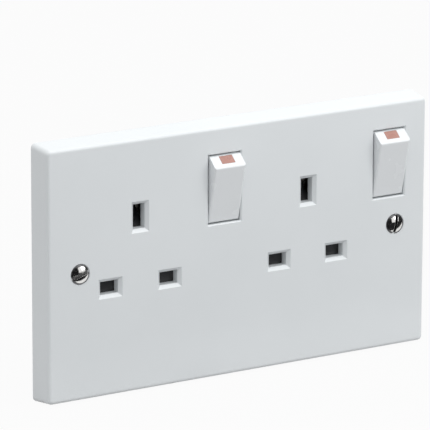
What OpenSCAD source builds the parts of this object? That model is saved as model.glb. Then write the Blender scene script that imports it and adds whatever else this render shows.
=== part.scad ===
// Twin switched socket outlet with rectangular pins, for a two-gang wall box.
// X runs to the viewer's right, Z up and Y into the wall. The wall plane is y = 0, and the origin
// is the middle of the plate on that plane. Millimetres.

/* [Plate] */
// Width over the back rim
plate_w = 146; // [142:1:154]
// Height over the back rim
plate_h = 86; // [83:1:92]
// Projection of the front face from the wall
plate_d = 9; // [8.4:0.1:11]
// Thickness of the front wall
face_t = 3; // [2.6:0.1:3.2]
// Thickness of the rim at the wall
rim_t = 2.3; // [1.8:0.1:3]
// How far each side leans in between wall and front
side_draft = 0.8; // [0.3:0.1:1.6]
// Radius of the front edge
edge_r = 1.2; // [0.6:0.1:2]
// Radius of the plate's corners
corner_r = 1.6; // [1.2:0.1:4]

/* [Fixing screws] */
// Distance between the two fixing screws
fix_pitch = 120.6; // [119:0.1:122]
// Radius of the screw thread
fix_r = 1.75; // [1.5:0.05:2]
// Radius of the plain shank between head and thread
fix_shank_r = 1.55; // [1.4:0.05:1.6]
// Radius of the countersunk head
fix_head_r = 3.25; // [3.1:0.05:3.35]
// Radius of the countersink in the face
sink_r = 3.6; // [3.5:0.05:3.8]
// Height of the raised head above the front face
fix_head_rise = 0.9; // [0.5:0.1:1.2]
// Length from the front face to the tip
fix_len = 26; // [18:1:40]
// Wall of the plate's tube round each fixing screw
fix_tube_t = 2.2; // [1.6:0.1:2.4]
// Radius kept free for the wall box's screw lug
lug_r = 5; // [4.8:0.1:5.1]

/* [Outlets] */
// Centre of the left outlet
left_outlet_x = -38; // [-38.4:0.1:-37.6]
// Distance between the two outlets
outlet_pitch = 63.9; // [63.5:0.1:64.5]
// Height of the live and neutral apertures
line_z = -6.1; // [-6.5:0.1:-5.8]
// Distance between the pins of a plug, across and up
pin_pitch = 22.2; // [22:0.1:22.4]
// Width of a live or neutral aperture
line_slot_w = 6.7; // [6.6:0.1:7.4]
// Height of a live or neutral aperture
line_slot_h = 4.4; // [4.3:0.1:5]
// Width of an earth aperture
earth_slot_w = 4.4; // [4.3:0.1:5]
// Height of an earth aperture
earth_slot_h = 8.3; // [8.2:0.1:8.9]
// Chamfer round each aperture
slot_chamfer = 1.1; // [0.6:0.1:1.3]
// Pad behind each aperture
slot_pad = 0.7; // [0.5:0.1:0.9]
// Width of the pad round each aperture
slot_pad_lap = 1.2; // [0.8:0.1:1.2]

/* [Plug pins] */
// Thickness of every pin
pin_t = 4; // [3.8:0.05:4.1]
// Width of a live or neutral pin
line_pin_w = 6.35; // [6:0.05:6.5]
// Height of an earth pin
earth_pin_h = 8; // [7.8:0.05:8.2]
// Reach of the live and neutral pins behind the front face
line_pin_l = 17.7; // [17:0.1:18]
// Reach of the earth pin behind the front face
earth_pin_l = 22.7; // [22:0.1:23]

/* [Rockers] */
// From an outlet's centre to its switch's centre
switch_dx = 31.8; // [31.6:0.1:32.4]
// Height of the rocker pivots
switch_z = 21.3; // [20.9:0.05:21.5]
// Width of a switch opening
switch_w = 12.3; // [12:0.1:12.8]
// Height of a switch opening
switch_h = 23.4; // [23.2:0.1:24]
// Gap between rocker and opening at each side
rocker_gap = 0.3; // [0.2:0.05:0.5]
// Depth of the pivots behind the front face
pivot_d = 2.5; // [2.3:0.1:2.7]
// From the pivot to the rocker's flat front
rocker_front = 4.3; // [4.1:0.1:4.6]
// Gap between the rocker's ends and the opening
rocker_end_gap = 0.35; // [0.25:0.05:0.6]
// Wall of the rocker
rocker_t = 1.4; // [1.1:0.1:1.8]
// Radius of the rocker's long front edges
rocker_side_r = 0.6; // [0.4:0.1:0.8]
// Radius where the rocker's flat front meets its curved ends
rocker_edge_r = 0.8; // [0.5:0.1:1]
// Slope of the flat land that carries the window, at the rocker's upper end
land_tilt = 26.5; // [25:0.5:29]
// Tilt of the rocker either way
rocker_tilt = 13; // [10:0.5:14]
// Radius of the rocker's pivot pins
trunnion_r = 1.2; // [1:0.05:1.3]
// Width of the red window
window_w = 4.9; // [4:0.1:6]
// Length of the red window down the land
window_l = 3.1; // [2.4:0.1:3.4]
// Thickness of the red window
window_t = 1.2; // [0.9:0.1:1.3]

/* [Switch gear] */
// From the rocker's pivot to the plunger's tip centre
plunger_reach = 5.7; // [5.3:0.05:5.75]
// Radius of the plunger's rounded tip
plunger_tip_r = 1.2; // [1:0.05:1.25]
// Radius of the plunger's barrel
plunger_r = 1.55; // [1.5:0.05:1.7]
// Travel of the plunger into the rocker
plunger_travel = 0.8; // [0.5:0.1:1]
// Tilt of the moving contact either way
contact_tilt = 6; // [4:0.5:7]
// Height of the contact buttons above the fulcrum
button_dz = 5.8; // [5.4:0.1:6]
// Radius of the contact buttons
button_r = 1.4; // [1.2:0.1:1.6]

/* [Metalwork] */
// Thickness of every strip
strip_t = 0.8; // [0.7:0.05:0.9]
// Front of the live feed and of the neutral bar, behind the wall plane
bar_y = 1.6; // [1.5:0.1:1.8]
// Front of the live tails
tail_y = 4.6; // [4.4:0.1:4.8]
// Width of the long strips
strip_w = 3.4; // [3:0.1:3.6]
// Depth of the live and neutral contacts' mouths behind the front face
contact_d = 10; // [9.6:0.1:10.2]

/* [Shutters] */
// Thickness of a shutter
shutter_t = 1.7; // [1.4:0.1:1.8]
// Downward travel of a shutter
shutter_travel = 5.8; // [5.6:0.1:6]
// Lap of a shutter over each aperture, all round
shutter_lap = 1; // [0.7:0.1:1.1]
// Length of the shutter springs at rest
shutter_spring_l = 14.5; // [13:0.5:15]

/* [Terminals] */
// Width of a terminal block
block_w = 9; // [8.6:0.1:9.2]
// Depth of a terminal block
block_d = 8; // [8:0.1:8.2]
// Height of a terminal block
block_h = 9.5; // [9:0.1:10]
// Radius of the wire hole in a terminal block
wire_r = 2.1; // [1.8:0.05:2.2]
// Radius of a terminal screw
clamp_r = 1.75; // [1.5:0.05:2]
// Distance between the two earth terminals
earth_block_pitch = 11; // [10.8:0.1:11.4]

/* [Rear housing] */
// Wall of the housing
house_t = 1.5; // [1.2:0.1:1.6]
// Bottom of the housing
house_bottom = -33.6; // [-34:0.1:-33]
// Radius of the housing's corners
house_corner_r = 2; // [1.6:0.1:3]
// Radius of the housing screws
house_screw_r = 1.4; // [1.2:0.05:1.5]

/* [Hidden] */

// Colours
white = [0.93, 0.935, 0.93];
rear_white = [0.86, 0.86, 0.83];
window_red = [0.75, 0.45, 0.42];
nickel = [0.75, 0.75, 0.74];
brass = [0.78, 0.66, 0.36];
copper = [0.76, 0.5, 0.34];
spring_steel = [0.6, 0.61, 0.62];
dark_nylon = [0.2, 0.2, 0.21];

// Fineness of round surfaces
$fn = 64;
coarse = 32;
corner_steps = 6;
edge_steps = 5;
eps = 0.01;

// Clearances
running_gap = 0.05;
loose_gap = 0.15;
slide_gap = 0.2;
screw_gap = 0.2;
sweep_gap = 0.35;
edge_break = 0.4;

// Levels through the depth
front_y = -plate_d;
back_of_face = front_y + face_t;
pad_y = back_of_face + slot_pad;
shutter_y = pad_y + slide_gap;
shutter_back = shutter_y + shutter_t;
well_y = shutter_back + slide_gap;
strap_y = bar_y + strip_t + block_d;
floor_y = strap_y + strip_t;
back_y = floor_y + house_t + 0.1;
wire_y = bar_y + strip_t + block_d / 2 - 0.4;
fix_tube_end = -0.6;
fix_head_y = front_y + sink_r - fix_head_r - running_gap;

// Outlets
outlets = [left_outlet_x, left_outlet_x + outlet_pitch];
earth_z = line_z + pin_pitch;
line_pad = [line_slot_w / 2 + slot_pad_lap, line_slot_h / 2 + slot_pad_lap];
function live_x(outlet) = outlet + pin_pitch / 2;
function neutral_x(outlet) = outlet - pin_pitch / 2;

// Contact wells
clip_gap = pin_t / 2 - 0.4;
clip_centre = clip_gap + strip_t / 2;
line_clip_w = line_pin_w + 0.65;
earth_clip_w = earth_pin_h + 1.2;
line_well = [line_clip_w / 2 + 0.5, clip_centre + 1.2];
earth_well = [clip_centre + 1.6, earth_clip_w / 2 + 0.6];
well_t = 1.3;
line_clip_back = front_y + line_pin_l + 0.9;
earth_clip_back = front_y + earth_pin_l + 0.7;
ramp_back = bar_y - 0.8;
earth_well_y = ramp_back + 0.4;
earth_back_y = earth_clip_back + strip_t / 2 + 0.1 + 1.3;

// Switches
switches = [for (x = outlets) x + switch_dx];
pivot_y = front_y + pivot_d;
rocker_w = switch_w - 2 * rocker_gap;
rocker_r = switch_h / 2 - rocker_end_gap;
cheek_t = 1.9;
cheek_in = switch_w / 2;
cheek_out = cheek_in + cheek_t;
cheek_h = 8.4;
cheek_back = back_of_face + 3.2;
rocker_skirt = 1.5;
sweep_back = pivot_y + rocker_skirt * cos(rocker_tilt) + rocker_r * sin(rocker_tilt);
switch_well_y = max(sweep_back, cheek_back) + sweep_gap + 0.1;
switch_well_h = switch_h / 2 + sweep_gap;
trunnion_len = cheek_t - 0.25;
stem_r = 2.4;
bore_r = plunger_r + running_gap;
stem_back = 2.6;
bore_front = rocker_front - rocker_t - 0.2;
window_start = 0.1;
rocker_hollow_top = rocker_r - bore_front * tan(land_tilt) - (window_t + 0.9) / cos(land_tilt);
fulcrum_r = 0.8;
hub_r = 1.5;
hub_front = pivot_y + plunger_reach + plunger_tip_r + 0.1;
fulcrum_y = hub_front + hub_r;
contact_w = 5;
contact_up = button_dz + button_r + 0.3;
contact_down = 7;
prong_in = contact_w / 2 + 0.3;
prong_w = 1.8;
fork_drop = contact_down + 1;
button_t = 1;

// Long strips and the corridor between contact wells and switch wells
tail_out = cheek_out + 1;
tail_w = strip_w - 0.2;
earth_strap_z = -1.2;
feed_z = earth_strap_z + strip_w + 1;
neutral_strap_z = -18.2;
neutral_tail_w = 5;
earth_tail_w = 6;

// Terminals
block_top = house_bottom + house_t + 0.2 + block_h;
block_mid = block_top - block_h / 2;
cell_t = 1.3;
cell_half = block_w / 2 + loose_gap + cell_t;
neutral_block_x = neutral_x(outlets[0]) + 4.1;
live_block_x = live_x(outlets[1]) + line_well[0] + well_t + 1 + 2.3;
earth_mid_x = (live_x(outlets[0]) + neutral_x(outlets[1])) / 2 + 1;
earth_blocks = [earth_mid_x - earth_block_pitch / 2, earth_mid_x + earth_block_pitch / 2];
landing_w = 4.4;
mouth_half = wire_r + 0.5;
clamp_head_r = 2.8;
clamp_head_y = floor_y + 0.1;
clamp_access_r = 3.2;

// Rear housing outline
house_left = neutral_x(outlets[0]) - line_well[0] - well_t - 1;
house_step_x = house_left + 3.4;
house_step_z = 8;
house_low_right = live_block_x + cell_half + 0.1;
house_right = switches[1] + cheek_out;
house_top = switch_z + switch_well_h + house_t;
house_wing_z = switch_z - switch_well_h - house_t;

// Housing screws, two above the wells and two between the terminals
post_r = 3;
boss_back = back_of_face + 5;
post_up = 8.9;
low_post_z = block_mid + 1.1;
house_screws = [
  [outlets[0] - 9, earth_z + post_up],
  [live_x(outlets[0]) + 7.9, low_post_z],
  [outlets[1] + 8.1, low_post_z],
  [outlets[1] + 14.6, earth_z + post_up + 2]
];
house_head_r = 2.7;
house_head_t = 1.5;
house_head_y = back_y - house_head_t - 0.4;

// Shutter springs
spring_coil_r = 1.25;
spring_wire_r = 0.25;
spring_turns = 7;
spigot_r = 0.8;
shutter_axis_y = (shutter_y + shutter_back) / 2;
cover_half = [line_slot_w / 2 + shutter_lap, line_slot_h / 2 + shutter_lap];
ledge_z = line_z - cover_half[1] - shutter_spring_l;
stem_half = 3.4;
ramp_bottom = earth_z - 8;
ramp_front_z = earth_z - earth_pin_h / 2 - 0.1;

// Plain box between two corners
module block(x0, x1, y0, y1, z0, z1) {
  translate([x0, y0, z0])
    cube([x1 - x0, y1 - y0, z1 - z0]);
}

// Box on a centre in X and Z
module block_at(x, z, half_x, half_z, y0, y1) {
  block(x - half_x, x + half_x, y0, y1, z - half_z, z + half_z);
}

// Round bar along Y
module bar_along_y(x, z, y0, y1, r) {
  translate([x, y0, z])
    rotate([-90, 0, 0])
      cylinder(h = y1 - y0, r = r);
}

// Round bar along X
module bar_along_x(x0, x1, y, z, r) {
  translate([x0, y, z])
    rotate([0, 90, 0])
      cylinder(h = x1 - x0, r = r);
}

// Cone along Y
module cone_along_y(x, z, y0, y1, r0, r1) {
  translate([x, y0, z])
    rotate([-90, 0, 0])
      cylinder(h = y1 - y0, r1 = r0, r2 = r1);
}

// Flat outline in X and Z, carried from y0 to y1
module slab(y0, y1) {
  translate([0, y1, 0])
    rotate([90, 0, 0])
      linear_extrude(height = y1 - y0)
        children();
}

// Rectangle with round corners, in the plane of an outline
module round_rect(x0, x1, z0, z1, r) {
  translate([x0 + r, z0])
    square([x1 - x0 - 2 * r, z1 - z0]);
  translate([x0, z0 + r])
    square([x1 - x0, z1 - z0 - 2 * r]);
  for (x = [x0 + r, x1 - r])
    for (z = [z0 + r, z1 - r])
      translate([x, z])
        circle(r = r);
}

// Unit vector, and the left-hand normal of a step from a to b
function unit(v) = v / norm(v);
function left_of(a, b) = let (u = unit(b - a)) [-u[1], u[0]];

// Path moved sideways by d, mitred at its corners
function beside(path, d) = [
  for (i = [0 : len(path) - 1])
    let (
      last = len(path) - 1,
      n0 = left_of(path[max(i - 1, 0)], path[max(i, 1)]),
      n1 = left_of(path[min(i, last - 1)], path[min(i + 1, last)]),
      m = unit(n0 + n1)
    )
    path[i] + m * d / (m * n0)
];

function reversed(path) = [for (i = [len(path) - 1 : -1 : 0]) path[i]];

// Section of a bent strip along a path
module strip_section(path, t) {
  polygon(concat(beside(path, t / 2), reversed(beside(path, -t / 2))));
}

// Hairpin path of a contact clip: depth first, then half opening
function clip_path(mouth, back, centre) =
  let (
    bend = 1.1,
    flare = centre + 0.7,
    heel = centre + 0.15,
    half = concat(
      [[mouth, flare], [mouth + 1.5, centre], [mouth + 3.5, centre]],
      [for (a = [90 : -22.5 : 0]) [back - bend + bend * cos(a), heel - bend + bend * sin(a)]]
    )
  )
  concat(half, [for (p = reversed(half)) [p[0], -p[1]]]);

// Coil spring along Z from z = 0 to z = length
module coil(coil_r, wire_r, turns, length, sides, steps) {
  count = turns * steps;
  rise = length - 2 * wire_r;
  points = [
    for (i = [0 : count])
      let (a = 360 * i / steps, z = wire_r + rise * i / count)
      for (j = [0 : sides - 1])
        let (b = 360 * j / sides, r = coil_r + wire_r * cos(b))
        [r * cos(a), r * sin(a), z + wire_r * sin(b)]
  ];
  walls = [
    for (i = [0 : count - 1])
      for (j = [0 : sides - 1])
        let (k = (j + 1) % sides, low = i * sides, high = low + sides)
        each [[low + j, high + k, high + j], [low + j, low + k, high + k]]
  ];
  start = [for (j = [sides - 1 : -1 : 0]) j];
  end = [for (j = [0 : sides - 1]) count * sides + j];
  polyhedron(points = points, faces = concat(walls, [start], [end]));
}

// Round-cornered outline of the plate at depth y, drawn in by inset from half_w by half_h
function plate_ring(half_w, half_h, inset, y) = [
  for (corner = [0 : 3])
    for (i = [0 : corner_steps])
      let (
        a = 90 * (corner + i / corner_steps),
        sx = (corner == 0 || corner == 3) ? 1 : -1,
        sz = corner < 2 ? 1 : -1,
        r = corner_r - inset
      )
      [sx * (half_w - corner_r) + r * cos(a), y, sz * (half_h - corner_r) + r * sin(a)]
];

// Outer form of the plate, lofted from the wall forwards: leaning sides, then the rounded edge
module plate_form() {
  front_w = plate_w / 2 - side_draft;
  front_h = plate_h / 2 - side_draft;
  r = min(edge_r, corner_r - 0.2);
  rings = concat(
    [plate_ring(plate_w / 2, plate_h / 2, 0, 0)],
    [
      for (i = [0 : edge_steps])
        let (t = 90 * i / edge_steps)
        plate_ring(front_w, front_h, r * (1 - cos(t)), front_y + r * (1 - sin(t)))
    ]
  );
  count = 4 * (corner_steps + 1);
  last = len(rings) - 1;
  walls = [
    for (i = [0 : last - 1])
      for (j = [0 : count - 1])
        let (k = (j + 1) % count, low = i * count, high = low + count)
        [low + j, high + j, high + k, low + k]
  ];
  back = [for (j = [0 : count - 1]) j];
  front = [for (j = [count - 1 : -1 : 0]) last * count + j];
  polyhedron(points = [for (ring = rings) each ring], faces = concat(walls, [back], [front]));
}

// Cut at 45 degrees round a mouth of w by h in the front face, c deep
module chamfer_cut(x, z, w, h, c) {
  over = 0.5;
  corners = [[-1, -1], [1, -1], [1, 1], [-1, 1]];
  mouth = [w / 2 + c + over, h / 2 + c + over];
  throat = [w / 2 - over, h / 2 - over];
  translate([x, front_y, z])
    polyhedron(
      points = concat(
        [for (k = corners) [k[0] * mouth[0], -over, k[1] * mouth[1]]],
        [for (k = corners) [k[0] * throat[0], c + over, k[1] * throat[1]]]
      ),
      faces = [[3, 2, 1, 0], [4, 5, 6, 7], [0, 1, 5, 4], [1, 2, 6, 5], [2, 3, 7, 6], [3, 0, 4, 7]]
    );
}

// Aperture through the face with a chamfered mouth
module aperture(x, z, w, h) {
  block_at(x, z, w / 2, h / 2, front_y - 1, pad_y + 1);
  chamfer_cut(x, z, w, h, slot_chamfer);
}

// Opening for a rocker, its edge just broken
module switch_opening(x) {
  block_at(x, switch_z, switch_w / 2, switch_h / 2, front_y - 1, back_of_face + 1);
  chamfer_cut(x, switch_z, switch_w, switch_h, edge_break);
}

// Slot that a rocker's pivot pin slides into from behind
module bearing_slot(x0, x1) {
  r = trunnion_r + running_gap;
  translate([x0, pivot_y, switch_z])
    rotate([90, 0, 90])
      linear_extrude(height = x1 - x0) {
        circle(r = r);
        translate([0, -r])
          square([cheek_back + 1 - pivot_y, 2 * r]);
      }
}

module bearing_cheeks(x) {
  for (side = [-1, 1])
    block_at(x + side * (cheek_in + cheek_t / 2), switch_z, cheek_t / 2, cheek_h / 2,
      back_of_face - eps, cheek_back);
}

module front_plate() {
  rim_x = plate_w / 2 - rim_t;
  rim_z = plate_h / 2 - rim_t;
  guide_in = stem_half + slide_gap;
  color(white)
  difference() {
    union() {
      difference() {
        plate_form();
        block_at(0, 0, rim_x, rim_z, back_of_face, 1);
      }
      for (x = outlets) {
        for (px = [neutral_x(x), live_x(x)])
          block_at(px, line_z, line_pad[0], line_pad[1], back_of_face - eps, pad_y);
        block_at(x, earth_z, earth_slot_w / 2 + slot_pad_lap, earth_slot_h / 2 + slot_pad_lap,
          back_of_face - eps, pad_y);
        // Ribs that guide the shutter's stem
        for (side = [-1, 1])
          block_at(x + side * (guide_in + 0.6), line_z + 9.1, 0.6, 3, back_of_face - eps, shutter_back);
      }
      for (x = switches)
        bearing_cheeks(x);
      for (side = [-1, 1])
        bar_along_y(side * fix_pitch / 2, 0, back_of_face - eps, fix_tube_end, fix_r + screw_gap + fix_tube_t);
      for (p = house_screws)
        bar_along_y(p[0], p[1], back_of_face - eps, boss_back, post_r);
    }
    for (x = outlets) {
      aperture(neutral_x(x), line_z, line_slot_w, line_slot_h);
      aperture(live_x(x), line_z, line_slot_w, line_slot_h);
      aperture(x, earth_z, earth_slot_w, earth_slot_h);
    }
    for (x = switches) {
      switch_opening(x);
      bearing_slot(x - cheek_out - 1, x - cheek_in + eps);
      bearing_slot(x + cheek_in - eps, x + cheek_out + 1);
    }
    for (side = [-1, 1]) {
      bar_along_y(side * fix_pitch / 2, 0, front_y - 1, 1, fix_r + screw_gap);
      cone_along_y(side * fix_pitch / 2, 0, front_y - eps, front_y + sink_r - fix_r - screw_gap,
        sink_r + eps, fix_r + screw_gap);
    }
    for (p = house_screws)
      bar_along_y(p[0], p[1], back_of_face + 0.4, boss_back + 1, house_screw_r + running_gap);
  }
}

// Outline of the rear housing, drawn in by g
module house_outline(g) {
  r = house_corner_r - g / 2;
  round_rect(house_left + g, house_low_right - g, house_bottom + g, house_step_z - g, r);
  round_rect(house_step_x + g, house_low_right - g, house_bottom + g, house_top - g, r);
  round_rect(house_step_x + g, house_right - g, house_wing_z + g, house_top - g, r);
}

// Footprints of the strips, grown by g for the slots that they lie in
module feed_outline(g) {
  first = switches[0] - prong_in - prong_w;
  last = switches[1] - tail_out;
  low = switch_z - fork_drop;
  round_rect(first - g, last + g, feed_z - g, feed_z + strip_w + g, 0.4);
  // Up to the left fork
  round_rect(first - g, switches[0] + prong_in + prong_w + g, feed_z - g, low + g, 0.4);
  // Up and across to the right fork
  round_rect(last - tail_w - g, last + g, feed_z - g, low + g, 0.4);
  round_rect(last - tail_w - g, switches[1] + prong_in + prong_w + g, low - strip_w - g, low + g, 0.4);
  // Down to the live terminal
  round_rect(live_block_x - landing_w / 2 - g, live_block_x + landing_w / 2 + g,
    block_top - block_h + 1 - g, feed_z + strip_w + g, 0.4);
}

module fork_outline(x, g) {
  for (side = [-1, 1])
    translate([x + side * (prong_in + prong_w / 2), switch_z - fork_drop / 2 + 0.5])
      square([prong_w + 2 * g, fork_drop + 3 + 2 * g], center = true);
}

module neutral_outline(g) {
  a = neutral_x(outlets[0]);
  b = neutral_x(outlets[1]);
  half = neutral_tail_w / 2;
  top = line_z - pin_t / 2 - 0.2;
  round_rect(a - half - g, b + half + g, neutral_strap_z - g, neutral_strap_z + strip_w + g, 0.4);
  for (x = [a, b])
    round_rect(x - half - g, x + half + g, neutral_strap_z - g, top + g, 0.4);
  round_rect(neutral_block_x - landing_w / 2 - g, neutral_block_x + landing_w / 2 + g,
    block_top - block_h + 1 - g, neutral_strap_z + strip_w + g, 0.4);
}

module live_tail_outline(outlet, g) {
  from = live_x(outlet) + line_clip_w / 2 - 0.2;
  x = outlet + switch_dx;
  post = x - tail_out;
  mid = line_z;
  half = clip_centre + strip_t / 2;
  round_rect(from - g, post + g, mid - half - g, mid + half + g, 0.4);
  round_rect(post - tail_w - g, post + g, mid - half - g, switch_z + button_dz + 1.5 + g, 0.4);
  round_rect(post - tail_w - g, x + 1.9 + g, switch_z + button_dz - 1.5 - g,
    switch_z + button_dz + 1.5 + g, 0.4);
}

module earth_outline(g) {
  half = earth_tail_w / 2;
  top = earth_z - earth_pin_h / 2 - 0.2;
  round_rect(outlets[0] - half - g, outlets[1] + half + g,
    earth_strap_z - g, earth_strap_z + strip_w + g, 0.4);
  for (x = outlets)
    round_rect(x - half - g, x + half + g, earth_strap_z - g, top + g, 0.4);
  round_rect(earth_mid_x - half - g, earth_mid_x + half + g,
    block_mid - 2.8 - g, earth_strap_z + strip_w + g, 0.4);
  round_rect(earth_blocks[0] - 3 - g, earth_blocks[1] + 3 + g,
    block_mid - 2.8 - g, block_mid + 2.8 + g, 0.4);
}

// Everything of the housing that stands, before any cut
module housing_walls() {
  // Shell, floor and deeper boxes behind the earth clips
  slab(back_of_face, back_y)
    difference() {
      house_outline(0);
      house_outline(house_t);
    }
  slab(floor_y, back_y)
    house_outline(0);
  intersection() {
    slab(back_of_face, back_y)
      house_outline(0);
    bar_along_y(-fix_pitch / 2, 0, back_of_face, back_y, lug_r + house_t);
  }
  for (x = outlets) {
    for (px = [neutral_x(x), live_x(x)]) {
      block_at(px, line_z, line_well[0] + well_t, line_well[1] + well_t, well_y, floor_y + eps);
      // Lip that stops the shutter on its way up
      block_at(px, line_z + cover_half[1] + running_gap + 0.5, 3.4, 0.5, shutter_y, well_y + eps);
    }
    block_at(x, earth_z, earth_well[0] + well_t, earth_well[1] + well_t, earth_well_y, earth_back_y);
    // Ledge and post under the shutter spring
    block_at(x, ledge_z - 1, 2.5, 1, shutter_axis_y - 1.6, floor_y + eps);
    translate([x, shutter_axis_y, ledge_z - eps])
      cylinder(h = 2, r = spigot_r, $fn = coarse);
  }
  for (x = switches) {
    difference() {
      block_at(x, switch_z, cheek_out, switch_well_h + house_t, switch_well_y, floor_y + eps);
      block_at(x, switch_z, cheek_in + 0.1, switch_well_h, switch_well_y - 1, floor_y);
    }
    for (side = [-1, 1]) {
      // Rib behind a prong of the fork
      block_at(x + side * (prong_in + prong_w / 2), switch_z - fork_drop / 2 + 0.5,
        prong_w / 2, fork_drop / 2 + 1.5, bar_y + strip_t, floor_y + eps);
    }
    // Post behind the fixed contact
    block_at(x, switch_z + button_dz, 1.9, 1.5, tail_y + strip_t, floor_y + eps);
  }
  // Ribs that carry the strips
  for (x = [outlets[1] - 19, outlets[1] + 5.5])
    block_at(x, (line_z + earth_z) / 2 - 2.2, 0.7, 5.8, bar_y - 1, floor_y + eps);
  for (x = [outlets[0] + 2, outlets[1] - 24])
    block_at(x, neutral_strap_z + strip_w / 2, 0.7, 3.4, bar_y - 1, floor_y + eps);
  for (x = [neutral_block_x, earth_blocks[0], earth_blocks[1], live_block_x])
    block(x - cell_half, x + cell_half, bar_y - 0.6, floor_y + eps,
      house_bottom + house_t / 2, block_top + loose_gap + cell_t);
  for (p = house_screws)
    bar_along_y(p[0], p[1], boss_back, floor_y + eps, post_r);
}

// Everything that is hollow or let in
module housing_cuts() {
  front = back_of_face - 1;
  for (x = outlets) {
    for (px = [neutral_x(x), live_x(x)]) {
      block_at(px, line_z, line_well[0], line_well[1], front, line_clip_back + strip_t / 2);
      // Room for the plate's pad, and for the shutter over its travel
      block_at(px, line_z, line_pad[0] + running_gap, line_pad[1] + running_gap, front, pad_y + running_gap);
      block(px - cover_half[0] - slide_gap, px + cover_half[0] + slide_gap, front, well_y,
        line_z - cover_half[1] - shutter_travel - slide_gap, line_z + cover_half[1] + running_gap);
    }
    block_at(x, earth_z, earth_well[0], earth_well[1], earth_well_y - 1, earth_clip_back + strip_t / 2);
    slab(front, tail_y + strip_t)
      live_tail_outline(x, loose_gap);
    slab(bar_y, bar_y + strip_t)
      fork_outline(x + switch_dx, loose_gap);
    bar_along_x(x + switch_dx - prong_in - prong_w - loose_gap, x + switch_dx + prong_in + prong_w + loose_gap,
      fulcrum_y, switch_z, fulcrum_r + running_gap);
  }
  slab(front, bar_y + strip_t)
    feed_outline(loose_gap);
  slab(front, bar_y + strip_t)
    neutral_outline(loose_gap);
  slab(front, floor_y)
    earth_outline(loose_gap);
  for (x = [neutral_block_x, earth_blocks[0], earth_blocks[1], live_block_x]) {
    block(x - block_w / 2 - loose_gap, x + block_w / 2 + loose_gap, front, floor_y,
      block_top - block_h - 0.2, block_top + loose_gap);
    bar_along_y(x, block_mid, floor_y - 1, back_y + 1, clamp_access_r);
    // Mouth for the wire
    block(x - mouth_half, x + mouth_half, wire_y - mouth_half, wire_y + mouth_half,
      house_bottom - 1, house_bottom + house_t + 1);
  }
  for (x = switches) {
    block_at(x, switch_z, cheek_out + 0.1, cheek_h / 2 + 0.2, front, cheek_back + 0.1);
    block_at(x, switch_z, cheek_in + 0.1, switch_well_h, front, switch_well_y);
  }
  // Room for the wall box's left lug
  bar_along_y(-fix_pitch / 2, 0, front, back_y + 1, lug_r);
  for (p = house_screws) {
    bar_along_y(p[0], p[1], front, back_y + 1, house_screw_r + 0.3);
    bar_along_y(p[0], p[1], house_head_y, back_y + 1, house_head_r + screw_gap);
  }
}

module rear_housing() {
  color(rear_white)
  union() {
    difference() {
      housing_walls();
      housing_cuts();
    }
    // Fingers that close the bearings behind the rockers' pins
    for (x = switches)
      for (side = [-1, 1])
        block_at(x + side * (cheek_in + cheek_t / 2), switch_z, cheek_t / 2 - 0.1, trunnion_r - 0.1,
          pivot_y + trunnion_r + running_gap, switch_well_y + eps);
  }
}

// Places a rocker's parts, drawn level about the pivot, at the tilt they rest in
module at_rocker(x) {
  translate([x, pivot_y, switch_z])
    rotate([rocker_tilt, 0, 0])
      children();
}

// Places what is drawn flat on the rocker's land, its upper edge at y = 0 and its surface at z = 0
module at_land() {
  translate([0, 0, rocker_r])
    rotate([land_tilt, 0, 0])
      children();
}

// Section of the rocker across its width, long front edges rounded
module rocker_section() {
  round_rect(-rocker_w / 2, rocker_w / 2, -rocker_front, rocker_skirt + 3, rocker_side_r);
}

// What a round takes off between the rocker's flat front and a face that looks towards u
module front_round(centre, u) {
  far = rocker_edge_r + 1;
  translate([-rocker_w / 2 - 1, 0, 0])
    rotate([90, 0, 90])
      linear_extrude(height = rocker_w + 2)
        difference() {
          polygon([centre, centre + far * [-1, 0], centre + far * u]);
          translate(centre)
            circle(r = rocker_edge_r);
        }
}

// Both rounds: under the flat land at the upper end, and at the curved lower end
module rocker_rounds() {
  y = rocker_edge_r - rocker_front;
  land_out = [-sin(land_tilt), cos(land_tilt)];
  upper = [y, rocker_r - (rocker_edge_r - y * sin(land_tilt)) / cos(land_tilt)];
  from_pivot = rocker_r - rocker_edge_r;
  lower = [y, -sqrt(from_pivot * from_pivot - y * y)];
  front_round(upper, land_out);
  front_round(lower, lower / from_pivot);
}

module rocker(x) {
  color(white)
  at_rocker(x)
  difference() {
    union() {
      difference() {
        intersection() {
          bar_along_x(-rocker_w / 2, rocker_w / 2, 0, 0, rocker_r);
          block(-rocker_w / 2, rocker_w / 2, -rocker_front, rocker_skirt, -rocker_r, rocker_r);
          translate([0, 0, -rocker_r])
            linear_extrude(height = 2 * rocker_r)
              rocker_section();
        }
        intersection() {
          bar_along_x(-rocker_w / 2 + rocker_t, rocker_w / 2 - rocker_t, 0, 0, rocker_r - rocker_t);
          block(-rocker_w / 2, rocker_w / 2, -bore_front, rocker_skirt + 1,
            -rocker_r, rocker_hollow_top);
        }
      }
      // Stem that holds the plunger, and its two webs
      bar_along_y(0, 0, -bore_front - eps, stem_back, stem_r);
      block_at(0, 0, rocker_w / 2 - rocker_t + eps, 0.6, -bore_front - eps, rocker_skirt);
      // Pivot pins
      bar_along_x(-rocker_w / 2 - rocker_gap - trunnion_len, -rocker_w / 2 + rocker_t, 0, 0, trunnion_r);
      bar_along_x(rocker_w / 2 - rocker_t, rocker_w / 2 + rocker_gap + trunnion_len, 0, 0, trunnion_r);
    }
    bar_along_y(0, 0, -bore_front, stem_back + 1, bore_r);
    at_land() {
      block(-rocker_w, rocker_w, -rocker_r, 0, 0, rocker_r);
      block(-window_w / 2 - running_gap, window_w / 2 + running_gap, -window_start - window_l - running_gap,
        -window_start + running_gap, -window_t - running_gap, 1);
    }
    rocker_rounds();
  }
}

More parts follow.
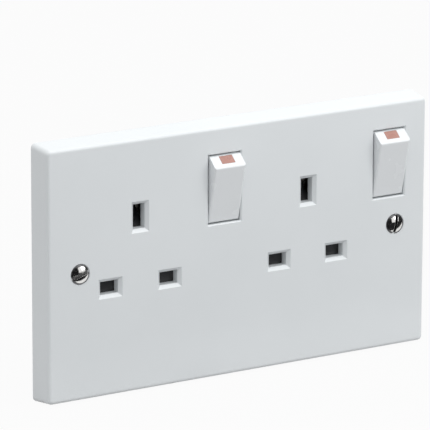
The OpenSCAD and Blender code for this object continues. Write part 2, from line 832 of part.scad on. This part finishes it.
module rocker_window(x) {
  color(window_red)
  at_rocker(x)
    at_land()
      block(-window_w / 2, window_w / 2, -window_start - window_l, -window_start, -window_t, -eps);
}

// Barrel with a round nose, hollow from its open end
module plunger(x) {
  base = 0.6;
  nose = plunger_reach;
  color(dark_nylon)
  at_rocker(x)
    rotate([-90, 0, 0])
      difference() {
        union() {
          translate([0, 0, base])
            cylinder(h = nose - base - 0.7, r = plunger_r);
          translate([0, 0, nose - 0.7])
            cylinder(h = 0.7, r1 = plunger_r, r2 = plunger_tip_r);
          translate([0, 0, nose])
            sphere(r = plunger_tip_r);
        }
        translate([0, 0, base - 1])
          cylinder(h = nose - base - 0.4, r = plunger_r - 0.4);
      }
}

module plunger_spring(x) {
  top = plunger_reach - 1.4;
  bottom = -bore_front + plunger_travel + 0.1;
  color(spring_steel)
  at_rocker(x)
    rotate([-90, 0, 0])
      translate([0, 0, bottom])
        coil(plunger_r - 0.7, 0.16, 6, top - bottom, 5, 10);
}

// See-saw with a half-round hub that rides on the fulcrum
module moving_contact(x) {
  color(copper)
  translate([x, fulcrum_y, switch_z])
    rotate([-contact_tilt, 0, 0])
      union() {
        difference() {
          union() {
            block(-contact_w / 2, contact_w / 2, -hub_r, -hub_r + strip_t, -contact_down, contact_up);
            bar_along_x(-contact_w / 2, contact_w / 2, 0, 0, hub_r);
          }
          bar_along_x(-contact_w, contact_w, 0, 0, fulcrum_r + running_gap);
          block(-contact_w, contact_w, 0.3, hub_r + 1, -hub_r - 1, hub_r + 1);
        }
        bar_along_y(0, button_dz, -hub_r + strip_t - eps, -hub_r + strip_t + button_t, button_r);
      }
}

// Clip for a live or neutral pin, its leaves above and below
module line_clip(x) {
  translate([x - line_clip_w / 2, 0, line_z])
    rotate([90, 0, 90])
      linear_extrude(height = line_clip_w)
        strip_section(clip_path(front_y + contact_d, line_clip_back, clip_centre), strip_t);
}

// Clip for an earth pin, its leaves left and right
module earth_clip(x) {
  translate([x, 0, earth_z - earth_clip_w / 2])
    linear_extrude(height = earth_clip_w)
      rotate(90)
        mirror([0, 1])
          strip_section(clip_path(earth_well_y + 0.4, earth_clip_back, clip_centre), strip_t);
}

module live_clip(outlet) {
  x = outlet + switch_dx;
  button_y = fulcrum_y + (-hub_r + strip_t + button_t) * cos(contact_tilt)
    + (button_dz + button_r) * sin(contact_tilt) + 0.1;
  color(copper)
  union() {
    line_clip(live_x(outlet));
    slab(tail_y, tail_y + strip_t)
      live_tail_outline(outlet, 0);
    bar_along_y(x, switch_z + button_dz, button_y, tail_y + eps, button_r);
  }
}

module live_feed_bar() {
  color(copper)
  union() {
    slab(bar_y, bar_y + strip_t)
      feed_outline(0);
    for (x = switches) {
      slab(bar_y, bar_y + strip_t)
        fork_outline(x, 0);
      bar_along_x(x - prong_in - 1, x + prong_in + 1, fulcrum_y, switch_z, fulcrum_r);
    }
  }
}

module neutral_bar() {
  color(brass)
  union() {
    for (x = outlets)
      line_clip(neutral_x(x));
    slab(bar_y, bar_y + strip_t)
      neutral_outline(0);
  }
}

module earth_bar() {
  color(brass)
  difference() {
    union() {
      for (x = outlets)
        earth_clip(x);
      slab(strap_y, strap_y + strip_t)
        earth_outline(0);
    }
    for (x = earth_blocks)
      bar_along_y(x, block_mid, strap_y - 1, floor_y + 1, clamp_r + 0.25);
  }
}

// Brass block with a wire hole along Z and a screw hole along Y
module terminal(x) {
  y0 = bar_y + strip_t;
  color(brass)
  difference() {
    block(x - block_w / 2, x + block_w / 2, y0, y0 + block_d, block_top - block_h, block_top);
    translate([x, wire_y, block_top - block_h - 1])
      cylinder(h = block_h + 2, r = wire_r);
    bar_along_y(x, block_mid, wire_y, y0 + block_d + 1, clamp_r + running_gap);
  }
}

// Slotted cheese-head screw that clamps the wire
module terminal_screw(x) {
  head_t = 1.4;
  color(nickel)
  difference() {
    union() {
      bar_along_y(x, block_mid, wire_y + wire_r + 0.05, clamp_head_y + eps, clamp_r);
      bar_along_y(x, block_mid, clamp_head_y, clamp_head_y + head_t, clamp_head_r);
    }
    block_at(x, block_mid, clamp_head_r + 1, 0.4, clamp_head_y + 0.6, clamp_head_y + head_t + 1);
  }
}

// Shutter: two covers on a cross-piece, and a stem with the ramp that the earth pin pushes
module shutter(x) {
  color(dark_nylon)
  union() {
    block_at(x, line_z, pin_pitch / 2 + cover_half[0], cover_half[1], shutter_y, shutter_back);
    block(x - stem_half, x + stem_half, shutter_y, shutter_back, line_z, ramp_bottom + eps);
    translate([x + stem_half, 0, 0])
      rotate([90, 0, -90])
        linear_extrude(height = 2 * stem_half)
          polygon([
            [-shutter_y, ramp_bottom],
            [-shutter_y, ramp_front_z],
            [-ramp_back, ramp_front_z + shutter_travel - 0.05],
            [-ramp_back, ramp_bottom]
          ]);
    translate([x, shutter_axis_y, line_z - cover_half[1] - 2])
      cylinder(h = 2 + eps, r = spigot_r, $fn = coarse);
  }
}

module shutter_spring(x) {
  color(spring_steel)
  translate([x, shutter_axis_y, ledge_z])
    coil(spring_coil_r, spring_wire_r, spring_turns, shutter_spring_l, 6, 14);
}

// Raised countersunk machine screw, its slot turned by the given angle
module fixing_screw(x, slot_angle) {
  dome_r = (fix_head_r * fix_head_r + fix_head_rise * fix_head_rise) / (2 * fix_head_rise);
  tip = 0.5;
  thread_y = fix_tube_end + 0.1;
  color(nickel)
  difference() {
    union() {
      bar_along_y(x, 0, fix_head_y + 0.5, thread_y + eps, fix_shank_r);
      bar_along_y(x, 0, thread_y, front_y + fix_len - tip, fix_r);
      cone_along_y(x, 0, front_y + fix_len - tip - eps, front_y + fix_len, fix_r, fix_r - tip);
      cone_along_y(x, 0, fix_head_y, fix_head_y + fix_head_r - fix_shank_r, fix_head_r, fix_shank_r);
      intersection() {
        translate([x, fix_head_y - fix_head_rise + dome_r, 0])
          sphere(r = dome_r, $fn = 128);
        bar_along_y(x, 0, fix_head_y - fix_head_rise - 1, fix_head_y + eps, fix_head_r);
      }
    }
    translate([x, 0, 0])
      rotate([0, slot_angle, 0])
        block_at(0, 0, fix_head_r + 1, 0.5, fix_head_y - fix_head_rise - 1, fix_head_y + 0.3);
  }
}

// Pan-head screw from the housing's back into a boss of the plate
module housing_screw(p) {
  tip_y = back_of_face + 1;
  color(spring_steel)
  difference() {
    union() {
      bar_along_y(p[0], p[1], tip_y, house_head_y + eps, house_screw_r);
      bar_along_y(p[0], p[1], house_head_y, house_head_y + house_head_t, house_head_r);
    }
    for (turn = [0, 90])
      translate([p[0], 0, p[1]])
        rotate([0, turn + 45, 0])
          block_at(0, 0, 1.7, 0.35, house_head_y + 0.5, back_y);
  }
}

front_plate();
rear_housing();
rocker(switches[0]);  // rocker_left
rocker(switches[1]);  // rocker_right
rocker_window(switches[0]);  // rocker_window_left
rocker_window(switches[1]);  // rocker_window_right
plunger(switches[0]);  // plunger_left
plunger(switches[1]);  // plunger_right
plunger_spring(switches[0]);  // plunger_spring_left
plunger_spring(switches[1]);  // plunger_spring_right
moving_contact(switches[0]);  // moving_contact_left
moving_contact(switches[1]);  // moving_contact_right
live_clip(outlets[0]);  // live_clip_left
live_clip(outlets[1]);  // live_clip_right
live_feed_bar();
neutral_bar();
earth_bar();
terminal(live_block_x);  // live_terminal
terminal(neutral_block_x);  // neutral_terminal
terminal(earth_blocks[0]);  // earth_terminal_left
terminal(earth_blocks[1]);  // earth_terminal_right
terminal_screw(live_block_x);  // live_terminal_screw
terminal_screw(neutral_block_x);  // neutral_terminal_screw
for (x = earth_blocks) terminal_screw(x);  // earth_terminal_screws
shutter(outlets[0]);  // shutter_left
shutter(outlets[1]);  // shutter_right
shutter_spring(outlets[0]);  // shutter_spring_left
shutter_spring(outlets[1]);  // shutter_spring_right
fixing_screw(-fix_pitch / 2, -17);  // fixing_screw_left
fixing_screw(fix_pitch / 2, -80);  // fixing_screw_right
for (p = house_screws) housing_screw(p);  // housing_screws
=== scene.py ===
import math

import bmesh
import bpy
import numpy as np
from mathutils import Matrix, Vector


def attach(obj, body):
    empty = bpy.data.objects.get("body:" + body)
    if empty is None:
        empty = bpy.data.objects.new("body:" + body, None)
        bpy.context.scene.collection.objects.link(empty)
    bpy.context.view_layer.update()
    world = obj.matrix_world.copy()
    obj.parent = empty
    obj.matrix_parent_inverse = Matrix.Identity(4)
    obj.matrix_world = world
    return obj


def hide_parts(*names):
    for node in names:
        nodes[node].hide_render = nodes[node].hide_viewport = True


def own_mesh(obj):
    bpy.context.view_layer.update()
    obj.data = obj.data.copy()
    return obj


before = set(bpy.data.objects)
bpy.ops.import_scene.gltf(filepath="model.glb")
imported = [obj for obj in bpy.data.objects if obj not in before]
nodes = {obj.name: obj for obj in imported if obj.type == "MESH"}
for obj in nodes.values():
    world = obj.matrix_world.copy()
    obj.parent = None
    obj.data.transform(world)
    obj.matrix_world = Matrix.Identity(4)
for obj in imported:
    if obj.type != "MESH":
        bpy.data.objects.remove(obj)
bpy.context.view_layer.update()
MM = 0.001

# Camera. The socket is seen from its own left and from a little above, from far enough away
# that its edges stay nearly parallel, through a long lens.
view_turn, view_lift, view_lean = math.radians(-31.32), math.radians(15.23), 0.0032
view_distance = 1449.6 * MM
view_centre = Vector((-4.45, 0, 9.95)) * MM
picture_px, focal_px, sensor_mm = 430, 4428.8, 36
nearest, farthest = 0.05, 20
camera = bpy.data.objects.new("camera", bpy.data.cameras.new("camera"))
bpy.context.scene.collection.objects.link(camera)
back = Vector((math.sin(view_turn) * math.cos(view_lift),
               -math.cos(view_turn) * math.cos(view_lift), math.sin(view_lift)))
right = (-back).cross(Vector((0, 0, 1))).normalized()
up = right.cross(-back)
leaned_right = right * math.cos(view_lean) + up * math.sin(view_lean)
leaned_up = up * math.cos(view_lean) - right * math.sin(view_lean)
stand = Matrix((leaned_right, leaned_up, back)).transposed().to_4x4()
stand.translation = view_centre + back * view_distance
camera.matrix_world = stand
camera.data.sensor_width = sensor_mm
camera.data.lens = focal_px / picture_px * sensor_mm
camera.data.clip_start, camera.data.clip_end = nearest, farthest
bpy.context.scene.camera = camera
bpy.context.scene.view_settings.view_transform = "Standard"


# Studio. A white table that the plate's lower rim stands on, a white room, a soft lamp overhead
# and one in front to the right. Dark cards stand where the metal mirrors them.
def paint(name):
    """An empty material and its node tree."""
    finish = bpy.data.materials.new(name)
    finish.use_nodes = True
    finish.node_tree.nodes.clear()
    return finish, finish.node_tree


def put(tree, kind, sockets=None, **settings):
    """A shader node of one kind, with its settings, and each socket given a value or joined to
    a node's output."""
    made = tree.nodes.new("ShaderNode" + kind)
    for key, value in settings.items():
        setattr(made, key, value)
    for key, value in (sockets or {}).items():
        if isinstance(value, bpy.types.NodeSocket):
            tree.links.new(value, made.inputs[key])
        else:
            made.inputs[key].default_value = value
    return made


def either(tree, a, b):
    """The larger of two sockets."""
    return put(tree, "Math", {0: a, 1: b}, operation="MAXIMUM").outputs[0]


def seen_directly(tree):
    """1 for what the camera, a mirror or a pane sees, 0 for light that falls on things."""
    path = put(tree, "LightPath")
    shown = either(tree, path.outputs["Is Camera Ray"], path.outputs["Is Glossy Ray"])
    return either(tree, shown, path.outputs["Is Transmission Ray"])


def flat_mesh(name, corners, finish):
    """One quad through four corners in metres, in one material."""
    mesh = bpy.data.meshes.new(name)
    mesh.from_pydata(corners, [], [(0, 1, 2, 3)])
    mesh.materials.append(finish)
    sheet = bpy.data.objects.new(name, mesh)
    bpy.context.scene.collection.objects.link(sheet)
    return sheet


white = (1, 1, 1, 1)
table_z, table_reach = -43 * MM, 4.0
white_share = 0.95
table_finish, tree = paint("white_table")
lit = put(tree, "BsdfDiffuse", {"Color": (0.34, 0.34, 0.345, 1)})
glow = put(tree, "Emission", {"Color": white, "Strength": 1.0})
share = put(tree, "Math", {0: seen_directly(tree), 1: white_share}, operation="MULTIPLY")
mixed = put(tree, "MixShader", {0: share.outputs[0], 1: lit.outputs[0], 2: glow.outputs[0]})
put(tree, "OutputMaterial", {0: mixed.outputs[0]})
table_corners = [(-table_reach, -table_reach, table_z), (table_reach, -table_reach, table_z),
                 (table_reach, table_reach, table_z), (-table_reach, table_reach, table_z)]
table = flat_mesh("white_table", table_corners, table_finish)

light_strength, seen_strength = 0.94, 1.0
world = bpy.data.worlds.new("white_room")
bpy.context.scene.world = world
world.use_nodes = True
tree = world.node_tree
tree.nodes.clear()
room_light = put(tree, "Background", {"Color": white, "Strength": light_strength})
room_seen = put(tree, "Background", {"Color": white, "Strength": seen_strength})
mixed = put(tree, "MixShader", {0: seen_directly(tree), 1: room_light.outputs[0],
                                2: room_seen.outputs[0]})
put(tree, "OutputWorld", {0: mixed.outputs[0]})


def soft_lamp(name, place, size, watts):
    """A square area lamp at a place in metres, turned to the middle of the plate."""
    data = bpy.data.lights.new(name, "AREA")
    data.shape = "SQUARE"
    data.size = size
    data.energy = watts
    lamp = bpy.data.objects.new(name, data)
    bpy.context.scene.collection.objects.link(lamp)
    lamp.location = place
    lamp.rotation_mode = "QUATERNION"
    lamp.rotation_quaternion = (-Vector(place)).to_track_quat("-Z", "Y")


soft_lamp("overhead_lamp", place=(0.06, -0.17, 0.40), size=0.38, watts=0.72)
soft_lamp("front_lamp", place=(0.50, -0.60, 0.30), size=0.35, watts=1.05)

card_finish, tree = paint("dark_card")
card_face = put(tree, "BsdfDiffuse", {"Color": (0.015, 0.015, 0.016, 1)})
put(tree, "OutputMaterial", {0: card_face.outputs[0]})


def dark_card(name, corners):
    """A flat dark card with four corners in metres. The camera doesn't see it, mirrors do."""
    card = flat_mesh(name, corners, card_finish)
    card.visible_camera = False
    card.visible_diffuse = False
    card.visible_shadow = False


dark_card("card_low", [(-0.6, -1.2, -0.042), (0.9, -1.2, -0.042),
                       (0.9, -0.047, -0.042), (-0.6, -0.047, -0.042)])
dark_card("card_left", [(-0.9, -0.5, -0.04), (0.16, -0.9, -0.04),
                        (0.10, -0.9, 0.8), (-0.9, -0.5, 0.8)])
dark_card("card_right", [(0.75, -0.60, -0.04), (0.60, -0.05, -0.04),
                         (0.60, -0.05, 0.6), (0.75, -0.60, 0.6)])


# Front plate. One compression moulding in hard white thermoset, 9 mm deep, with chamfered pin
# apertures and two switch openings. The face is satin from the tool, and its gloss is a little
# patchy.
def noise(tree, where, size_mm, detail, roughness=0.5):
    """Noise with patches of about size_mm, whose scale counts patches to the metre."""
    return put(tree, "TexNoise", {"Vector": where, "Scale": 1000 / size_mm, "Detail": detail,
                                  "Roughness": roughness}).outputs[0]


def spread(tree, value, low, high, start, end):
    """A value carried from the range low to high onto start to end, and held there."""
    return put(tree, "MapRange", {0: value, 1: low, 2: high, 3: start, 4: end}).outputs[0]


def blend(tree, share, colour, other):
    """One colour turned into another by a share. Sockets 6, 7 and 2 are the two colours and
    the result."""
    return put(tree, "Mix", {0: share, 6: (*colour, 1), 7: (*other, 1)},
               data_type="RGBA").outputs[2]


def worked_surface(tree, relief, strength, depth, softness_mm):
    """The normal of a surface with a relief of some depth in metres, its sharp edges catching
    the light as if rounded by softness_mm."""
    rounded = put(tree, "Bevel", {"Radius": softness_mm * MM}, samples=4)
    return put(tree, "Bump", {"Strength": strength, "Distance": depth, "Height": relief,
                              "Normal": rounded.outputs[0]}).outputs[0]


def moulded_plastic(name, colour, shade, gloss, grain_mm, grain_um, flow_mm=30,
                    softness_mm=0.12, patchy=0.02):
    """Moulded plastic: slow flow marks change the colour towards shade, a fine tool grain gives
    bump, the gloss is a little patchy, and sharp edges are soft."""
    finish, tree = paint(name)
    where = put(tree, "TexCoord").outputs["Object"]
    flow = noise(tree, where, flow_mm, 3.0)
    body = blend(tree, spread(tree, flow, 0.35, 0.65, 0.0, 1.0), colour, shade)
    patches = noise(tree, where, grain_mm * 16, 2.0)
    dullness = spread(tree, patches, 0.3, 0.7, gloss - patchy, gloss + patchy)
    grain = noise(tree, where, grain_mm, 3.0, 0.6)
    normal = worked_surface(tree, grain, 0.5, grain_um * 1e-6, softness_mm)
    surface = put(tree, "BsdfPrincipled", {"Base Color": body, "Roughness": dullness,
                                           "IOR": 1.5, "Normal": normal})
    put(tree, "OutputMaterial", {0: surface.outputs[0]})
    return finish


def finish_with(finish, *names):
    """Gives CAD nodes one finish."""
    for name in names:
        for slot in nodes[name].material_slots:
            slot.material = finish


plate_white = moulded_plastic("plate_white", (0.73, 0.76, 0.775), (0.715, 0.745, 0.76),
                              gloss=0.30, grain_mm=0.25, grain_um=1.5)
finish_with(plate_white, "front_plate")

# Rockers. Two hollow white mouldings that turn on pins in the plate's cheeks. The tool was
# polished, so they are whiter and glossier than the plate.
rocker_white = moulded_plastic("rocker_white", (0.775, 0.80, 0.815), (0.765, 0.79, 0.805),
                               gloss=0.26, grain_mm=0.4, grain_um=2)
finish_with(rocker_white, "rocker_left", "rocker_right")

# Windows. A chip of dull red plastic let into each rocker's upper end, paler in patches where
# the light comes back from the rocker below it.
window_red = moulded_plastic("window_red", (0.40, 0.195, 0.16), (0.435, 0.235, 0.195),
                             gloss=0.28, grain_mm=0.3, grain_um=3, flow_mm=2.5)
finish_with(window_red, "rocker_window_left", "rocker_window_right")

# Rear housing. One deep box in heat-proof white moulding with the wells, cells and slots for the
# metalwork. It is never seen in use, so its tool was left with a coarse matt grain.
rear_white = moulded_plastic("rear_white", (0.70, 0.70, 0.655), (0.66, 0.665, 0.62),
                             gloss=0.52, grain_mm=0.5, grain_um=30)
finish_with(rear_white, "rear_housing")

# Shutters and plungers. Slippery dark nylon, moulded, with a slightly waxy surface. The shutters
# close the live and neutral apertures, and the plungers slide in the rockers' stems.
dark_nylon = moulded_plastic("dark_nylon", (0.020, 0.021, 0.023), (0.034, 0.035, 0.037),
                             gloss=0.34, grain_mm=0.3, grain_um=8, flow_mm=3, patchy=0.08)
finish_with(dark_nylon, "shutter_left", "shutter_right", "plunger_left", "plunger_right")


# Contacts and bars. Strip blanked and bent from hard rolled copper alloy and brass: fine lines
# along the rolling, a patchy tarnish in warm browns, and duller where it has been handled.
def rolled_metal(name, colour, tarnish, gloss, along=(1, 1, 1), line_mm=0.12, tarnish_mm=4):
    """Rolled or turned metal: noise squeezed along one axis gives the lines, a slow noise the
    tarnish."""
    finish, tree = paint(name)
    where = put(tree, "TexCoord").outputs["Object"]
    patches = noise(tree, where, tarnish_mm, 5.0, 0.6)
    stain = spread(tree, patches, 0.48, 0.72, 0.0, 1.0)
    body = blend(tree, stain, colour, tarnish)
    squeezed = put(tree, "Mapping", {"Vector": where, "Scale": along})
    lines = noise(tree, squeezed.outputs[0], line_mm, 2.0)
    worn = put(tree, "Math", {0: lines, 1: stain}, operation="ADD")
    dullness = spread(tree, worn.outputs[0], 0.3, 1.5, gloss - 0.05, gloss + 0.18)
    normal = worked_surface(tree, lines, strength=0.4, depth=4e-6, softness_mm=0.12)
    surface = put(tree, "BsdfPrincipled", {"Base Color": body, "Metallic": 1.0,
                                           "Roughness": dullness, "Normal": normal})
    put(tree, "OutputMaterial", {0: surface.outputs[0]})
    return finish


copper_alloy = rolled_metal("copper_alloy", (0.72, 0.42, 0.27), (0.42, 0.24, 0.15),
                            gloss=0.26, along=(0.05, 1, 1))
brass = rolled_metal("brass", (0.75, 0.58, 0.27), (0.48, 0.36, 0.17),
                     gloss=0.28, along=(0.05, 1, 1))
finish_with(copper_alloy, "moving_contact_left", "moving_contact_right", "live_clip_left",
            "live_clip_right", "live_feed_bar")
finish_with(brass, "neutral_bar", "earth_bar", "live_terminal", "neutral_terminal",
            "earth_terminal_left", "earth_terminal_right")

# Springs and housing screws. Drawn spring wire and zinc-plated steel, both grey. The springs
# under the shutters are shown by merged copies.
spring_steel = rolled_metal("spring_steel", (0.50, 0.51, 0.53), (0.33, 0.33, 0.34),
                            gloss=0.28, along=(1, 1, 0.1), line_mm=0.06, tarnish_mm=2)
finish_with(spring_steel, "plunger_spring_left", "plunger_spring_right", "housing_screws")
spring_weld = 1e-6


def pressed_spring(name, node):
    """A merged copy of a shutter's spring, put in its place and hung from the root body."""
    shape = bmesh.new()
    shape.from_mesh(nodes[node].data)
    bmesh.ops.remove_doubles(shape, verts=shape.verts, dist=spring_weld)
    mesh = bpy.data.meshes.new(name)
    shape.to_mesh(mesh)
    shape.free()
    mesh.materials.clear()
    mesh.materials.append(spring_steel)
    spring = bpy.data.objects.new(name, mesh)
    bpy.context.scene.collection.objects.link(spring)
    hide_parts(node)
    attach(spring, "root")
    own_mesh(spring)


pressed_spring("left_return_spring", "shutter_spring_left")
pressed_spring("right_return_spring", "shutter_spring_right")

# Terminal screws. Steel turned and threaded, then bright nickel plated. They clamp the house
# wiring in the terminal blocks.
nickel_plate = rolled_metal("nickel_plate", (0.77, 0.765, 0.75), (0.68, 0.675, 0.66),
                            gloss=0.10, line_mm=0.3, tarnish_mm=3)
finish_with(nickel_plate, "live_terminal_screw", "neutral_terminal_screw",
            "earth_terminal_screws")

# Fixing screws. Two M3.5 machine screws with raised countersunk heads, cold headed, slotted,
# thread rolled and nickel plated, with painted shade on the slot's floor and the head's rim. They
# hold the plate to the box in the wall.
# Painted shade: a near-black steel that stands in for the shadow in the slot and the dark ring
# round the head's rim.
painted_shade_steel = rolled_metal("painted_shade_steel", (0.15, 0.15, 0.155), (0.10, 0.10, 0.10),
                          gloss=0.30, line_mm=0.3, tarnish_mm=2)
screw_pitch = 0.6 * MM
core_r, crest_r, neck_r = 1.38 * MM, 1.74 * MM, 1.54 * MM
neck_y, thread_y, tip_y = -7.0 * MM, -0.48 * MM, 16.95 * MM
thread_corners = (0.0, 0.125, 0.44, 0.69)
tip_inset, neck_lap = 0.15 * MM, 0.5 * MM
crown_y, crown_r = -9.88 * MM, 6.8 * MM
edge_r, round_r, shade_ring_r = 3.35 * MM, 0.35 * MM, 2.8 * MM
seat_y, rim_height = -8.76 * MM, 0.02 * MM
foot_lap, foot_inset = 0.3 * MM, 0.02 * MM
slot_half_mm, slot_y = (4.5, 1.0, 0.5), -9.4 * MM
screw_weld, floor_margin = 1e-7, 1e-6


def lathe_mesh(name, x, y, radius):
    """Closed skin turned about the y axis through x. The parameters are the row and the angle a:
    a corner lies at (x + radius * cos a, y, radius * sin a), and each end row is joined to a pole
    on the axis."""
    count, around = y.shape
    a = np.linspace(0, 2 * np.pi, around, endpoint=False)
    points = np.stack([x + radius * np.cos(a), y, radius * np.sin(a)], -1).reshape(-1, 3)
    this = np.arange(around)
    after = (this + 1) % around
    row = np.arange(count - 1)[:, None] * around
    sides = np.stack([row + this, row + around + this, row + around + after, row + after], -1)
    poles = np.full(around, count * around)
    last = (count - 1) * around
    first_cap = np.stack([this, after, poles], -1)
    last_cap = np.stack([last + after, last + this, poles + 1], -1)
    ends = np.array([[x, y[0].min(), 0], [x, y[-1].max(), 0]])
    mesh = bpy.data.meshes.new(name)
    mesh.from_pydata(np.concatenate([points, ends]).tolist(), [],
                     sides.reshape(-1, 4).tolist() + first_cap.tolist() + last_cap.tolist())
    return mesh


def thread_rows(around):
    """y and radius of a plain neck and a right-hand thread. y = start + pitch * (whole turns +
    corner + angle / full turn), and the radius goes from crest to core over the four corners of a
    trapezoid. At both ends y is held at the end plane, and at the tip the radius is held under
    a 45 degree cone."""
    a = np.linspace(0, 1, around, endpoint=False)
    turns = np.arange(-1, int((tip_y - thread_y) / screw_pitch) + 1)
    crest = np.tile([1.0, 1.0, 0.0, 0.0], len(turns))[:, None]
    y = thread_y + screw_pitch * ((turns[:, None] + np.array(thread_corners)).ravel()[:, None] + a)
    radius = core_r + (crest_r - core_r) * crest + 0 * y
    y = np.clip(y, thread_y, tip_y)
    radius = np.minimum(radius, core_r - tip_inset + (tip_y - y))
    radius = np.where(y <= thread_y, neck_r, radius)
    neck = np.array([[neck_y - neck_lap], [thread_y]]) + 0 * a
    return np.concatenate([neck, y]), np.concatenate([neck_r + 0 * neck, radius])


def head_rows(around):
    """y and radius of the head: an arc of a sphere of radius crown_r from the axis outwards,
    a round of round_r that meets it without a corner, a short straight rim and the 45 degree cone
    down to the neck, which ends inside the shank."""
    reach = np.arcsin((edge_r - round_r) / (crown_r - round_r))
    t = np.linspace(0.04, 1, 14) * reach
    crown = np.stack([crown_y + crown_r * (1 - np.cos(t)), crown_r * np.sin(t)], -1)
    u = np.linspace(reach, np.pi / 2, 7)[1:]
    middle = crown_y + crown_r - (crown_r - round_r) * np.cos(reach)
    turn = np.stack([middle - round_r * np.cos(u), edge_r - round_r + round_r * np.sin(u)], -1)
    cone = np.array([[seat_y - rim_height, turn[-1, 1]],
                     [seat_y + turn[-1, 1] - neck_r, neck_r],
                     [neck_y + foot_lap, neck_r - foot_inset]])
    rows = np.concatenate([crown, turn, cone])
    return rows[:, :1] + np.zeros(around), rows[:, 1:] + np.zeros(around)


def fixing_screw(name, node, x, slot_angle):
    """The lathe-turned head with its slot cut through, and the threaded shank let into it, as
    one piece."""
    head = bpy.data.objects.new(name, lathe_mesh(name, x, *head_rows(around=72)))
    bpy.context.scene.collection.objects.link(head)
    slot_size = np.array(slot_half_mm) * MM
    corners = np.array([[i, j, k] for i in (-1, 1) for j in (-1, 1) for k in (-1, 1)]) * slot_size
    c, d = math.cos(slot_angle), math.sin(slot_angle)
    turned = np.array([[c, 0, d], [0, 1, 0], [-d, 0, c]])
    corners = corners @ turned.T + np.array([x, slot_y, 0])
    cutter_mesh = bpy.data.meshes.new(name + "_slot")
    cutter_mesh.from_pydata(corners.tolist(), [], [(0, 1, 3, 2), (4, 6, 7, 5), (0, 4, 5, 1),
                                                   (2, 3, 7, 6), (0, 2, 6, 4), (1, 5, 7, 3)])
    cutter = bpy.data.objects.new(name + "_slot", cutter_mesh)
    bpy.context.scene.collection.objects.link(cutter)
    cut = head.modifiers.new("slot", "BOOLEAN")
    cut.operation, cut.solver, cut.object = "DIFFERENCE", "EXACT", cutter
    evaluated = head.evaluated_get(bpy.context.evaluated_depsgraph_get())
    slotted = bpy.data.meshes.new_from_object(evaluated)
    bpy.data.objects.remove(head)
    bpy.data.objects.remove(cutter)
    shape = bmesh.new()
    shape.from_mesh(slotted)
    shape.from_mesh(lathe_mesh(name + "_shank", x, *thread_rows(around=40)))
    bmesh.ops.remove_doubles(shape, verts=shape.verts, dist=screw_weld)
    mesh = bpy.data.meshes.new(name)
    shape.to_mesh(mesh)
    shape.free()
    mesh.materials.clear()
    mesh.materials.append(nickel_plate)
    mesh.materials.append(painted_shade_steel)
    centres = np.empty(len(mesh.polygons) * 3)
    mesh.polygons.foreach_get("center", centres)
    centres = centres.reshape(-1, 3)
    across = np.abs((centres[:, 0] - x) * d + centres[:, 2] * c)
    above_floor = np.abs(centres[:, 1] - slot_y - slot_size[1])
    # The slot's floor and the rim outside the ring radius take the painted shade.
    floor = (across < slot_size[2]) & (above_floor < floor_margin)
    rim = np.hypot(centres[:, 0] - x, centres[:, 2]) > shade_ring_r
    mesh.polygons.foreach_set("material_index", (floor | rim).astype(np.int32))
    screw = bpy.data.objects.new(name, mesh)
    bpy.context.scene.collection.objects.link(screw)
    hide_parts(node)
    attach(screw, "root")


fixing_screw("plate_screw_left", "fixing_screw_left", -60.3 * MM, math.radians(-17))
fixing_screw("plate_screw_right", "fixing_screw_right", 60.3 * MM, math.radians(-80))
